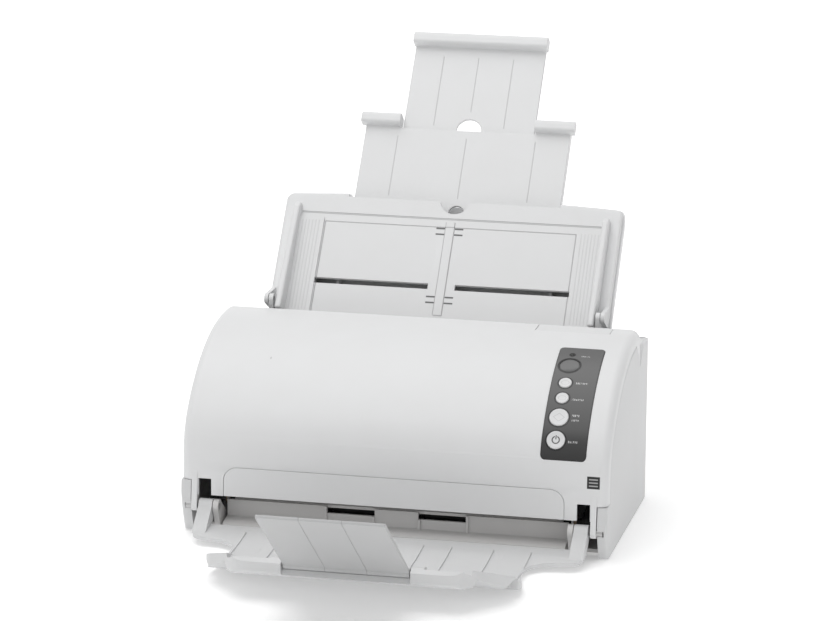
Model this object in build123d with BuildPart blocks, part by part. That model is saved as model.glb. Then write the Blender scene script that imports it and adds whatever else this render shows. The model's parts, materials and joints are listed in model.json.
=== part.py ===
"""Desktop sheet-fed document scanner with a folding paper chute and a front stacker.

Frame: millimetres, +X to the right as seen from the front, +Y to the rear, +Z up, with the
origin on the desk in the middle of the footprint.  The chute is drawn open, both of its
extensions out, the side guides apart, the stacker down and its flap turned forwards.
"""
from math import atan2, cos, degrees, hypot, pi, radians, sin, sqrt, tan
import os
from build123d import *

# casing
body_half = 146.0            # half the overall width
rear_y = 80.0                # rear wall
rear_top_z = 116.0           # top of the rear housing
rear_return = 3.6            # how far the rear housing's back wraps round its corners
rear_round = (3.4, 2.2)      # rounding of its upright corners and of its top edge
shelf_bite = 0.4             # how far its shelf runs into its back wall
skin = 2.4                   # moulded wall
casing_low_z = 0.8           # lower edge of the side covers
floor_z = 1.5                # underside of the base tray
floor_plate = 2.5
seam = 0.5                   # gap between covers that move apart
joint_line = 0.2             # gap between covers that are screwed together
running = 0.05               # radial clearance of a shaft or pin
stand_off = 0.4              # clearance beside a part that turns or slides

# front cover, an outline of three tangent bends seen from the side
cover_front_y = -79.3
cover_low_z = 28.0           # lower edge between the stacker's arms
cover_side_low_z = 38.4      # lower edge above the legs
cover_bend_z = 54.0          # where the first bend starts
cover_bends = ((50.4, 40.0), (125.5, 25.6), (123.2, 24.4))   # radius, turn in degrees
cover_rear_y = 37.0
cover_band = 9.0             # height of the cover's side wall below its outline
cover_band_y = 29.0          # where the band leaves the outline for the heel
cover_edge = 6.0             # rounding of the cover's ends
cover_heel = (45.4, 104.8)   # lowest point of the cover's side wall at the rear
cover_heel_rise = (-19.3, 17.0)   # from the heel to the side wall's inner corner
cover_inside = ((0.0, 60.0), (-60.0, 50.0))
finger_round = 3.8           # hub of a hinge finger round the front pin
lower_panel_half = 117.0     # inset plate low on the front cover
lower_panel_top_z = 48.7
lower_panel_corner = 10.0
lower_panel_deep = 1.2
lower_panel_gap = 0.35
notch_half = (125.3, 134.2)  # openings in the cover's lower edge for the stacker's arms
notch_top_z = 39.5
finger_half = (134.9, 138.7) # hinge fingers of the cover

# the axis at the front that the cover and the stacker both turn about
front_axis_y = -78.2
front_axis_z = 20.2
front_pin = 2.5              # pin radius
stacker_pin_end = 131.0      # outer ends of the stacker's and the cover's pins
cover_pin_end = 143.0
leg_half = 139.3             # inner face of the legs
post_half = (119.8, 123.4)   # posts of the base tray that carry the stacker
post_round = 5.0
exit_wall_y = -66.0          # wall of the base tray below the exit
exit_wall_top_z = 22.0
exit_wall_half = 117.6
exit_wall = 2.0
exit_window = (15.0, 48.0)   # windows of the eject rollers in that wall
exit_window_z = 17.0
exit_rib = 1.6
ledge_z = 10.4
floor_front_y = -62.0
ledge_outline = ((-61.0, 11.0), (-70.0, ledge_z), (-77.0, 9.4), (-79.0, 8.2), (-79.0, 5.6), (-72.0, 3.4))
post_outline = ((-83.0, 18.8), (-73.6, 22.2), (-60.0, 12.0), (-60.0, floor_z), (-74.0, floor_z))
leg_curve = ((-72.3, casing_low_z), (-77.3, 12.5), (-80.8, 25.0))   # front edge of a leg
leg_top_y = -79.4
leg_rear_y = -67.0
leg_room = 28.0              # height of the cover's openings for the legs
side_heel_gap = (0.4, -1.3)  # from the cover's heel to the side cover's
side_rear = (55.0, 58.5)     # where the side cover rises to the rear housing's height
side_rear_gap = 3.8
side_round = (1.6, 2.0)      # rounding of a side cover's front and top edges

# paper chute, in its own leaning frame: s runs up the bed, h stands out from it
lean = radians(38.5)
bed_h = 34.0
bed_plate = 2.5
bed_low_s = 131.0
bed_top_s = 229.5
bed_corner_drop = 4.0        # crown of the top edge
bed_dip = 5.3                # how much lower the top edge is where the extensions come out
bed_dish = 10.5              # finger notch in the top edge
bed_dish_x = 0.8
bed_hollow_s = 178.0         # middle and length of its hollow underside
bed_hollow_long = 84.0
bed_strip = 6.0              # raised strip up its middle
bed_strip_s = 172.0
bed_strip_long = 72.0
bed_corner_s = bed_top_s - bed_corner_drop
bed_half = 120.6
shell_half = 121.9
chute_play = 1.6             # between the chute and the rear housing's walls
shell_draft = 1.4            # how much each side of the shell narrows towards its back
shell_low_s = 133.0
shell_mouth = 14.0           # opening in its top wall for the extensions
shell_rail = 1.8             # rails that guide the lower extension
shell_rail_s = 180.0
shell_rail_long = 88.0
shell_rail_high = 9.0
shell_back_h = 15.0
shell_front_h = 29.6
chute_axis_s = 135.6
chute_axis_h = 47.2
chute_pin = 2.0
ear_half = (117.7, 120.4)
lug_half = (114.2, 117.2)
ear_round = 3.6
lug_round = 3.4
lug_foot = ((46.0, 105.0), (53.0, 104.4))   # where a lug leaves the rear housing's shelf
lug_back = ((60.0, 105.5), (54.4, 112.0))
slot_s = 157.9
slot_wide = 4.4

# side guides and the rack and pinion that ties them together
guide_in = 108.5
guide_thick = 4.5
guide_low_s = 128.5
guide_top_s = 216.3
guide_low_h = 48.5
guide_top_h = 42.0
guide_foot = (91.0, 108.5)
guide_foot_s = (132.5, 206.5)
guide_foot_high = 1.2
guide_travel = 80.0
guide_round = 1.6
neck_half = (91.4, 95.4)
slot_play = (1.8, 1.1)       # beyond the necks at the slots' inner and outer ends
slot_half = (neck_half[0] - guide_travel - slot_play[0], neck_half[1] + slot_play[1])
pinion_module = 1.0
pinion_teeth = 16
pinion_pin = 2.5
backlash = 0.3
rack_h = (27.4, 30.6)
rack_deep = 6.0
rack_reach = 97.0            # outer end of a rack
neck_play = 1.8

# extensions of the chute
ext1_half = 74.3
ext1_front_h = 25.2
ext1_plate = 2.0
ext1_low_s = 198.0
ext1_closed_s = 239.2        # its top when pushed in
ext1_travel = 56.0
ext1_top_s = ext1_closed_s + ext1_travel
ext1_rail = 1.8              # rails behind it
ext1_rail_deep = 5.0
ext1_middle_drop = 10.0      # how much lower it is between its lips
ext1_hole = (0.5, 220.0, 5.6)   # across, along and radius
ext1_lip = 8.6
ext1_lip_half = 77.5
ext1_lip_h = 31.2
ext2_half = 47.9
ext2_front_h = 22.2
ext2_low_s = 258.0
ext2_closed_s = 248.9
ext2_travel = 58.0
ext2_top_s = ext2_closed_s + ext1_travel + ext2_travel
ext2_lip = 9.0
ext2_lip_half = 49.2
ext2_lip_h = 29.5
ext2_hole = 8.8
ext2_hole_s = 287.2
extension_play = 1.0         # beside an extension that slides

# stacker
tray_half = 103.0
tray_wide_half = 133.4
tray_front_y = -213.5
tray_corner = (-168.0, 66.0) # where the rim's corner leaves the sides and the front
tray_waist = 99.5
tray_ribs = (24.7, 43.8, 72.1, 97.5)
tray_rear_y = -80.0
tray_profile = ((-84.5, 9.4), (-95.0, 8.0), (-112.0, 6.2), (-132.0, 5.2),
                (-152.0, 5.6), (-170.0, 9.0), (-187.0, 16.0), (-200.0, 24.4))
tray_side = ((129.0, -104.5), (110.0, -108.5), (tray_waist, -118.0), (tray_waist + 0.6, -140.0))
tray_sweep = ((94.0, -189.0), (80.6, -203.5))
rim_under = ((-203.0, 17.2), (-210.0, 17.6), (tray_front_y, 21.0))
rim_over = ((tray_front_y, 27.0), (-209.0, 29.4), (-203.5, 28.6), (-171.0, 15.6), (-158.0, 9.0),
            (-146.0, 5.4))
arm_front_y = -97.0
arm_foot = ((-84.6, 7.2), (arm_front_y, 5.4), (-100.0, 7.4))   # where an arm meets the tray
tray_rib = 1.6
tray_rib_high = 1.2
tray_lip = ((-196.0, 21.6), (-203.0, 25.0), (-208.6, 27.2), (-211.0, 31.0))   # inside of the rim
tray_lip_from = 50.5         # the rim is hollowed from here to its corners
tray_flare = ((90.0, 4.7), (104.5, 17.1))   # slope under the rim's corners, across and up
tray_flare_y = -167.0
horn_half = 80.6             # the rim's raised corners start here
arm_half = (124.0, 133.4)
arm_round = 5.0
tray_plate = 2.4
flap_half = 41.5
flap_axis_y = -209.0
flap_axis_z = 25.6
flap_long = 89.0
flap_rise = radians(36.6)
flap_plate = 2.4
flap_pin_round = 1.5
flap_fold = radians(150.0)   # turns back into the tray
flap_knuckle = 3.0

# paper path inside: straight under the bed, then one bend towards the front
bend_s = 47.3
path_bend = 95.9
path_turn = 43.5             # degrees
guide_out_y = -63.5          # front end of the paper guide
guide_half = 113.0
guide_plate = 2.0
fixed_top_s = 125.5
path_gap = 2.5
funnel_s = 117.0             # where the cover's guide turns away to form the throat

# rollers: place along the path, radius, and the two stretches of rubber
shaft_round = 2.5
pick_s = 105.5
pick_round = 9.0
pick_rubber = ((-26.0, -8.0), (8.0, 26.0))
feed_s = 92.0
feed_round = 7.0
feed_rubber = ((-62.0, -32.0), (32.0, 62.0))
pinch_round = 5.5
brake_round = 9.0
eject_y = -52.0
eject_round = 5.6
eject_rubber = ((-47.0, -17.0), (17.0, 47.0))
rubber_thick = 1.8
roller_gap = 0.3
rise_out = 0.8               # how far a driving roller stands out of its guide
frame_in = 118.0             # inner face of the steel side frames
frame_plate = 1.5
frame_rear = ((64.0, 100.0), (56.0, 100.0), (52.0, 105.0))
frame_front = ((-24.0, 33.0), (-45.0, 26.6), (-59.0, 24.6))
frame_top_s = 106.0
frame_holes = ((0.0, 16.0), (12.0, 44.0))
frame_hole = 4.5
pulley_x = (126.0, 131.0)
pick_pulley = 8.0
small_pulley = 5.0            # on the motor and the eject shaft
feed_pulley = 7.0
belt_thick = 1.2
motor_y = 40.0
motor_z = 24.0
motor_round = 16.0
motor_long = 30.0
motor_shaft = 1.5
bush_round = 4.6
foot_round = 7.0
screw_head = (2.8, 1.6)      # radius, height
screw_y = (-20.0, 55.0)

# scan units
scan_s = (60.0, 84.0)
scan_half = 110.0
glass_s = 72.0
glass_wide = 10.0
glass_thick = 1.6
scan_deep = 16.0
scan_hollow = 11.0

# control panel
panel_x = (99.7, 130.4)
panel_along = (40.5, 136.5)
panel_proud = 0.25
key_x = 109.2
key_gap = 0.25
key_proud = 0.9
key_stem = 2.2
key_stem_long = 2.4
key_round = 0.6
lens_proud = 0.05
lamp_proud = 0.45
panel_corner = 3.0
panel_play = 0.15            # round the control panel in the cover's opening
panel_board_drop = 14.0
lamp = (127.5, 1.2)          # distance along the cover's outline, radius
window = (115.6, 7.1)
function_key = (98.6, 4.4)
send_key = (85.5, 4.4)
scan_key = (70.3, 6.5)
power_key = (53.8, 6.2)

# release lever in the cover's rear edge
lever_x = (77.0, 128.0)
lever_y = 21.0
lever_round = 1.2            # barrel along the lever's front edge
lever_pin = 0.7
lever_pin_long = 2.0
lever_z = 129.6

# sockets in the rear wall and the board behind them
usb_x = 84.0
dc_x = 108.0
socket_z = 24.0
usb_hole = 12.6
dc_hole = 11.0
board_y = 68.0
lock_slot = (-110.0, 62.0)
lock_size = (3.2, 7.2)
vents = 9                    # slots that let the warm air out
vent_pitch = 7.0
vent_size = (26.0, 2.4)
shelf_low_z = 101.4          # shelf of the rear cover under the chute
shelf_top_z = 104.0
shelf_y = 57.0

FACE = Plane(origin=(0, 0, 0), x_dir=(1, 0, 0), z_dir=(0, -cos(lean), sin(lean)))
EDGE = Plane(origin=(0, 0, 0), x_dir=(0, sin(lean), cos(lean)), z_dir=(1, 0, 0))


def save(piece, name):
    """Label a finished piece and write it."""
    piece.part.label = name
    export_step(piece.part, f"parts/{name}.step")


def leaning(s, h):
    """Depth and height of a point of the chute's leaning frame."""
    return s * sin(lean) - h * cos(lean), s * cos(lean) + h * sin(lean)


def cover_station(along):
    """Depth, height and heading in degrees at a distance along the cover's outline."""
    y, z, heading = cover_front_y, cover_low_z, 90.0
    left = along - (cover_bend_z - cover_low_z)
    if left <= 0:
        return y, z + along, heading
    z = cover_bend_z
    for radius, turn in cover_bends:
        part = min(turn, degrees(left / radius))
        new = heading - part
        y += radius * (sin(radians(heading)) - sin(radians(new)))
        z += radius * (cos(radians(new)) - cos(radians(heading)))
        heading = new
        left -= radius * radians(part)
        if left <= 0:
            return y, z, heading
    return y + left, z, heading


def cover_curve(inset, low, rear):
    """Lines of the cover's outline moved inwards by inset, from height low to depth rear."""
    rise = Line((cover_front_y + inset, low), (cover_front_y + inset, cover_bend_z))
    spot = rise @ 1
    heading = 90.0
    for radius, turn in cover_bends:
        way = (cos(radians(heading)), sin(radians(heading)))
        bend = JernArc(spot, way, radius - inset, -turn)
        spot = bend @ 1
        heading -= turn
    top = Line(spot, (rear, spot.Y))
    return rise @ 0, top @ 1


def side_view(x):
    """Plane of a side view at the given x."""
    return Plane.YZ.offset(x)


def edge_view(x):
    """Plane of the chute's side view at the given x."""
    return EDGE.offset(x)


def make_base_tray():
    with BuildPart() as tray:
        with BuildSketch(Plane.XY.offset(floor_z)):
            floor_rear = rear_y - skin - joint_line
            with Locations((0, (floor_rear + floor_front_y) / 2)):
                Rectangle(2 * (body_half - skin - joint_line), floor_rear - floor_front_y)
        extrude(amount=floor_plate)
        with BuildSketch(side_view(-exit_wall_half)):
            with BuildLine():
                Polyline((ledge_outline[0][0], floor_z), *ledge_outline, (ledge_outline[1][0], floor_z),
                         close=True)
            make_face()
        extrude(amount=2 * exit_wall_half)
        with BuildSketch(Plane.XY.offset(floor_z)):
            with Locations((0, exit_wall_y + exit_wall / 2)):
                Rectangle(2 * exit_wall_half, exit_wall)
            for x in exit_window:
                with Locations((-x - exit_rib / 2, exit_wall_y), (x + exit_rib / 2, exit_wall_y)):
                    Rectangle(exit_rib, 2 * exit_rib)
        extrude(amount=exit_wall_top_z - floor_z)
        with BuildSketch(Plane.XY.offset(exit_window_z)):
            for side in (-1, 1):
                with Locations((side * sum(exit_window) / 2, exit_wall_y)):
                    Rectangle(exit_window[1] - exit_window[0], 4 * exit_wall)
        extrude(amount=exit_wall_top_z, mode=Mode.SUBTRACT)
        for side in (-1, 1):
            low = min(side * post_half[0], side * post_half[1])
            with BuildSketch(side_view(low)):
                with Locations((front_axis_y, front_axis_z)):
                    Circle(post_round)
                with BuildLine():
                    Polyline(*post_outline, close=True)
                make_face()
                with Locations((front_axis_y, front_axis_z)):
                    Circle(front_pin, mode=Mode.SUBTRACT)
            extrude(amount=post_half[1] - post_half[0])
    save(tray, "base_tray")


def side_outline():
    """Lines of a side cover, seen from the side, with the seam under the cover's band."""
    inset = cover_band + seam
    low, top = cover_curve(inset, cover_side_low_z - seam, cover_band_y)
    heel = (cover_heel[0] + side_heel_gap[0], cover_heel[1] + side_heel_gap[1])
    back = rear_y - side_rear_gap
    Polyline(top, heel, (side_rear[0], rear_top_z - 2.0), (side_rear[1], rear_top_z),
             (back, rear_top_z), (back, casing_low_z), leg_curve[0])
    ThreePointArc(*leg_curve)
    Polyline(leg_curve[-1], (leg_top_y, cover_side_low_z - seam), low)


def make_side_cover(side, name):
    outer = body_half
    inner = body_half - skin
    with BuildPart() as cover:
        with BuildSketch(side_view(min(side * outer, side * inner))):
            with BuildLine():
                side_outline()
            make_face()
        extrude(amount=skin)
        with BuildSketch(side_view(min(side * outer, side * leg_half))):
            with BuildLine():
                side_outline()
            make_face()
            with Locations((rear_y, rear_top_z / 2)):
                Rectangle(2 * (rear_y - leg_rear_y), 2 * rear_top_z, mode=Mode.SUBTRACT)
        extrude(amount=outer - leg_half)
        with BuildSketch(side_view(min(side * inner, side * leg_half))):
            with Locations((front_axis_y, front_axis_z)):
                Circle(front_pin + running)
        extrude(amount=inner - leg_half, mode=Mode.SUBTRACT)
        outside = cover.faces().filter_by(Axis.X).sort_by(Axis.X)[-1 if side > 0 else 0]
        front = outside.edges().filter_by(GeomType.CIRCLE).sort_by(Axis.Y)[0]
        fillet(front, side_round[0])
        top = outside.edges().filter_by(GeomType.LINE).filter_by(Axis.Y).sort_by(Axis.Z)[-1]
        fillet(top, side_round[1])
    save(cover, name)


def make_rear_cover():
    recess = shell_half + chute_play
    shelf_end = rear_y - skin + shelf_bite
    shelf_deep = shelf_end - shelf_y
    wall_top = rear_top_z - 0.4
    with BuildPart() as cover:
        with BuildSketch(Plane.XY.offset(casing_low_z)):
            with BuildLine():
                Polyline((-body_half, rear_y - rear_return), (-body_half, rear_y), (body_half, rear_y),
                         (body_half, rear_y - rear_return), (body_half - skin, rear_y - rear_return),
                         (body_half - skin, rear_y - skin), (-body_half + skin, rear_y - skin),
                         (-body_half + skin, rear_y - rear_return), close=True)
            make_face()
        extrude(amount=rear_top_z - casing_low_z)
        outer = cover.edges().filter_by(Axis.Z).group_by(Axis.Y)[-1]
        fillet(outer, rear_round[0])
        rim = cover.edges().group_by(Axis.Z)[-1].filter_by(Axis.X).sort_by(Axis.Y)[-1]
        fillet(rim, rear_round[1])
        inner = body_half - skin - joint_line
        for side in (-1, 1):
            with BuildSketch(side_view(min(side * inner, side * recess))):
                with Locations(((shelf_y + shelf_end) / 2, rear_top_z - skin / 2 - 0.4)):
                    Rectangle(shelf_deep, skin - 0.8)
            extrude(amount=inner - recess)
            with BuildSketch(side_view(min(side * (recess + skin), side * recess))):
                with Locations(((shelf_y + shelf_end) / 2, (shelf_low_z + wall_top) / 2)):
                    Rectangle(shelf_deep, wall_top - shelf_low_z)
            extrude(amount=skin)
            low = min(side * lug_half[0], side * lug_half[1])
            axis = leaning(chute_axis_s, chute_axis_h)
            with BuildSketch(side_view(low)):
                with BuildLine():
                    Polyline(*lug_foot, (lug_back[0][0], shelf_low_z), *lug_back,
                             (axis[0] + lug_round - 0.1, axis[1]),
                             (axis[0] - lug_round + 0.1, axis[1]), close=True)
                make_face()
                with Locations(axis):
                    Circle(lug_round)
                    Circle(chute_pin, mode=Mode.SUBTRACT)
            extrude(amount=lug_half[1] - lug_half[0])
        with BuildSketch(side_view(-recess - skin)):
            with Locations(((shelf_y + shelf_end) / 2, (shelf_low_z + shelf_top_z) / 2)):
                Rectangle(shelf_deep, shelf_top_z - shelf_low_z)
        extrude(amount=2 * (recess + skin))
        with BuildSketch(Plane.XZ.offset(-rear_y - 1)):
            with Locations((usb_x, socket_z)):
                Rectangle(usb_hole, usb_hole)
            with Locations((dc_x, socket_z)):
                Circle(dc_hole / 2)
            with Locations(lock_slot):
                Rectangle(*lock_size)
            with GridLocations(vent_pitch, 0, vents, 1):
                SlotCenterToCenter(*vent_size, rotation=90)
        extrude(amount=6, mode=Mode.SUBTRACT)
    save(cover, "rear_cover")


def make_board_parts():
    with BuildPart() as board:
        with BuildSketch(Plane.XZ.offset(-board_y)):
            with Locations((32, 50)):
                Rectangle(170, 80)
            with Locations((-46, 17), (110, 83)):
                Circle(1.7, mode=Mode.SUBTRACT)
        extrude(amount=-1.6)
        with BuildSketch(Plane.XZ.offset(-board_y)):
            with Locations((10, 52), (52, 62)):
                Rectangle(24, 24)
            with GridLocations(0, 12, 1, 4):
                with Locations((-28, 52)):
                    Rectangle(12, 5)
        extrude(amount=2.2)
    save(board, "main_board")
    with BuildPart() as usb:
        with BuildSketch(Plane.XZ.offset(-board_y - 1.6)):
            with Locations((usb_x, socket_z)):
                Rectangle(12, 12)
        extrude(amount=-(rear_y - board_y - 1.6 - 0.6))
        with BuildSketch(Plane.XZ.offset(-rear_y)):
            with Locations((usb_x, socket_z)):
                Rectangle(8.8, 8.2)
                Rectangle(5.6, 3.2, mode=Mode.SUBTRACT)
        extrude(amount=9, mode=Mode.SUBTRACT)
    save(usb, "usb_socket")
    with BuildPart() as inlet:
        with BuildSketch(Plane.XZ.offset(-board_y - 1.6)):
            with Locations((dc_x, socket_z)):
                Circle(dc_hole / 2 - 0.3)
        extrude(amount=-(rear_y - board_y - 1.6 - 0.6))
        with BuildSketch(Plane.XZ.offset(-rear_y)):
            with Locations((dc_x, socket_z)):
                Circle(3.3)
                Circle(1.0, mode=Mode.SUBTRACT)
        extrude(amount=9, mode=Mode.SUBTRACT)
    save(inlet, "dc_inlet")


def shaft_centre(s, radius):
    """Axis of a driving roller under the path at s."""
    return leaning(s, bed_h - radius + rise_out)


def eject_centre():
    """Axis of the driving roller near the exit, under the bent stretch of the path."""
    hub_y, hub_z = bend_hub()
    down = sqrt((path_bend + eject_round - rise_out) ** 2 - (eject_y - hub_y) ** 2)
    return eject_y, hub_z - down


def bend_hub():
    """Centre of the path's bend."""
    y, z = leaning(bend_s, bed_h)
    return y - path_bend * cos(lean), z + path_bend * sin(lean)


def make_paper_guide():
    with BuildPart() as guide:
        with BuildSketch(side_view(-guide_half)):
            with BuildLine():
                a = leaning(fixed_top_s, bed_h)
                b = leaning(bend_s, bed_h)
                c = leaning(fixed_top_s, bed_h - guide_plate)
                d = leaning(bend_s, bed_h - guide_plate)
                way = (-sin(lean), -cos(lean))
                Line(a, b)
                upper = JernArc(b, way, path_bend, -path_turn)
                Line(c, d)
                lower = JernArc(d, way, path_bend + guide_plate, -path_turn)
                run = (upper % 1) * ((guide_out_y - (upper @ 1).X) / (upper % 1).X)
                Polyline(upper @ 1, upper @ 1 + run, lower @ 1 + run, lower @ 1)
                Line(a, c)
            make_face()
        extrude(amount=2 * guide_half)
        for s, radius, spans in ((pick_s, pick_round, pick_rubber), (feed_s, feed_round, feed_rubber)):
            reach = sqrt(radius ** 2 - (radius - rise_out - guide_plate) ** 2) + 1.2
            with BuildSketch(FACE.offset(bed_h - guide_plate - 1)):
                for low, high in spans:
                    with Locations(((low + high) / 2, s)):
                        Rectangle(high - low + 3, 2 * reach)
            extrude(amount=guide_plate + 2, mode=Mode.SUBTRACT)
        with BuildSketch(FACE.offset(bed_h - guide_plate - 1)):
            with Locations((0, glass_s)):
                Rectangle(2 * scan_half - 6, glass_wide + 0.4)
        extrude(amount=guide_plate + 2, mode=Mode.SUBTRACT)
        with BuildSketch(Plane.XY):
            for low, high in eject_rubber:
                with Locations(((low + high) / 2, eject_y)):
                    Rectangle(high - low + 3, 13.0)
        extrude(amount=40, mode=Mode.SUBTRACT)
    save(guide, "paper_guide")


def make_scan_unit(name, glass_name, out):
    """A contact image sensor in its housing; out is +1 on the cover's side of the path."""
    near = bed_h + (path_gap + guide_plate + 0.2 if out > 0 else -guide_plate - 0.2)
    with BuildPart() as unit:
        with BuildSketch(FACE.offset(near)):
            with Locations((0, sum(scan_s) / 2)):
                Rectangle(2 * scan_half, scan_s[1] - scan_s[0])
        extrude(amount=out * scan_deep)
        fillet(unit.edges().filter_by(Axis.X), 1.0)
        with BuildSketch(FACE.offset(near)):
            with Locations((0, glass_s)):
                Rectangle(2 * scan_half - 10, glass_wide - 3)
        extrude(amount=out * scan_hollow, mode=Mode.SUBTRACT)
    save(unit, name)
    with BuildPart() as glass:
        with BuildSketch(FACE.offset(near)):
            with Locations((0, glass_s)):
                Rectangle(2 * scan_half - 7, glass_wide)
        extrude(amount=-out * glass_thick)
    save(glass, glass_name)


def make_frame_plates():
    pick = shaft_centre(pick_s, pick_round)
    feed = shaft_centre(feed_s, feed_round)
    eject = eject_centre()
    for side, name in ((-1, "left_frame_plate"), (1, "right_frame_plate")):
        near = side * frame_in
        with BuildPart() as plate:
            with BuildSketch(side_view(min(near, near + side * frame_plate))):
                with BuildLine():
                    floor_top = floor_z + floor_plate
                    Polyline((frame_front[-1][0], floor_top), (frame_rear[0][0], floor_top), *frame_rear,
                             leaning(frame_top_s, bed_h - guide_plate - 0.6),
                             leaning(bend_s, bed_h - guide_plate - 1), *frame_front, close=True)
                make_face()
                with Locations(pick, feed, eject):
                    Circle(bush_round, mode=Mode.SUBTRACT)
                with Locations(*frame_holes):
                    Circle(frame_hole, mode=Mode.SUBTRACT)
                with Locations((motor_y, motor_z)):
                    Circle(motor_shaft + 1.0, mode=Mode.SUBTRACT)
            extrude(amount=frame_plate)
            with BuildSketch(Plane.XY.offset(floor_z + floor_plate)):
                with Locations(*((side * (frame_in - 4.0), y) for y in screw_y)):
                    Rectangle(8.2, 16)
            extrude(amount=frame_plate)
            with Locations(*((side * (frame_in - 5.0), y, floor_z + floor_plate + frame_plate)
                             for y in screw_y)):
                Hole(1.6, depth=frame_plate)
        save(plate, name)
    with BuildPart() as bushes:
        for side in (-1, 1):
            inner = side * (frame_in - stand_off)
            outer = side * (frame_in + frame_plate + 1.6)
            with BuildSketch(side_view(min(inner, outer))):
                with Locations(pick, feed, eject):
                    Circle(bush_round)
                with Locations(pick, feed, eject):
                    Circle(shaft_round + running, mode=Mode.SUBTRACT)
            extrude(amount=abs(outer - inner))
    save(bushes, "shaft_bushes")


def make_roller(name, centre, radius, spans, pulleys):
    """A driving roller: shaft with its cores and pulleys, and the rubber sleeves on it."""
    with BuildPart() as shaft:
        with BuildSketch(side_view(-pulley_x[1] - 2)):
            with Locations(centre):
                Circle(shaft_round)
        extrude(amount=2 * pulley_x[1] + 4)
        for low, high in spans:
            with BuildSketch(side_view(low)):
                with Locations(centre):
                    Circle(radius - rubber_thick)
            extrude(amount=high - low)
        for side, pulley in pulleys:
            low = min(side * pulley_x[0], side * pulley_x[1])
            for start, wide, round_r in ((low, pulley_x[1] - pulley_x[0], pulley),
                                         (low - 1, 1, pulley + belt_thick + 0.5)):
                with BuildSketch(side_view(start)):
                    with Locations(centre):
                        Circle(round_r)
                extrude(amount=wide)
    save(shaft, f"{name}_shaft")
    with BuildPart() as rubber:
        for low, high in spans:
            with BuildSketch(side_view(low)):
                with Locations(centre):
                    Circle(radius)
                    Circle(radius - rubber_thick, mode=Mode.SUBTRACT)
            extrude(amount=high - low)
    save(rubber, f"{name}_rubber")


def make_drive():
    pick = shaft_centre(pick_s, pick_round)
    feed = shaft_centre(feed_s, feed_round)
    eject = eject_centre()
    motor_at = (motor_y, motor_z)
    make_roller("pick", pick, pick_round, pick_rubber, ((1, pick_pulley),))
    make_roller("feed", feed, feed_round, feed_rubber, ((-1, feed_pulley),))
    make_roller("eject", eject, eject_round, eject_rubber, ((-1, small_pulley), (1, small_pulley)))
    with BuildPart() as motor:
        with BuildSketch(side_view(frame_in - motor_long)):
            with Locations(motor_at):
                Circle(motor_round)
        extrude(amount=motor_long)
        fillet(motor.edges().filter_by(GeomType.CIRCLE).sort_by(Axis.X)[0], 1.5)
        with BuildSketch(side_view(frame_in - 20)):
            with Locations(motor_at):
                Circle(motor_shaft + running)
        extrude(amount=20, mode=Mode.SUBTRACT)
    save(motor, "drive_motor")
    with BuildPart() as pulley:
        with BuildSketch(side_view(frame_in - 18)):
            with Locations(motor_at):
                Circle(motor_shaft)
        extrude(amount=pulley_x[1] - frame_in + 18)
        with BuildSketch(side_view(pulley_x[0])):
            with Locations(motor_at):
                Circle(small_pulley)
        extrude(amount=pulley_x[1] - pulley_x[0])
    save(pulley, "motor_pulley")
    make_belt("drive_belt", 1, ((pick, pick_pulley), (motor_at, small_pulley), (eject, small_pulley)))
    make_belt("feed_belt", -1, ((feed, feed_pulley), (eject, small_pulley)))


def make_belt(name, side, wheels):
    """A flat belt drawn tight round its pulleys."""
    low = min(side * (pulley_x[0] + stand_off), side * (pulley_x[1] - stand_off))
    with BuildPart() as belt:
        for grow, mode in ((belt_thick, Mode.ADD), (running, Mode.SUBTRACT)):
            with BuildSketch(side_view(low)) as loop:
                for centre, radius in wheels:
                    with Locations(centre):
                        Circle(radius + grow)
                make_hull(loop.sketch_local.edges())
            extrude(amount=pulley_x[1] - pulley_x[0] - 2 * stand_off, mode=mode)
    save(belt, name)


def make_feet_and_screws():
    with BuildPart() as feet:
        with BuildSketch(Plane.XY):
            with Locations((-122, -52), (122, -52), (-122, 64), (122, 64), (0, 0)):
                Circle(foot_round)
        extrude(amount=floor_z)
        fillet(feet.edges().group_by(Axis.Z)[0], 0.5)
    save(feet, "rubber_feet")
    with BuildPart() as screws:
        top = floor_z + floor_plate + frame_plate
        for side in (-1, 1):
            for y in screw_y:
                with Locations((side * (frame_in - 5.0), y, top + screw_head[1] / 2)):
                    Cylinder(*screw_head)
                with Locations((side * (frame_in - 5.0), y, top - frame_plate / 2)):
                    Cylinder(1.6, frame_plate)
    save(screws, "chassis_screws")


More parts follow.
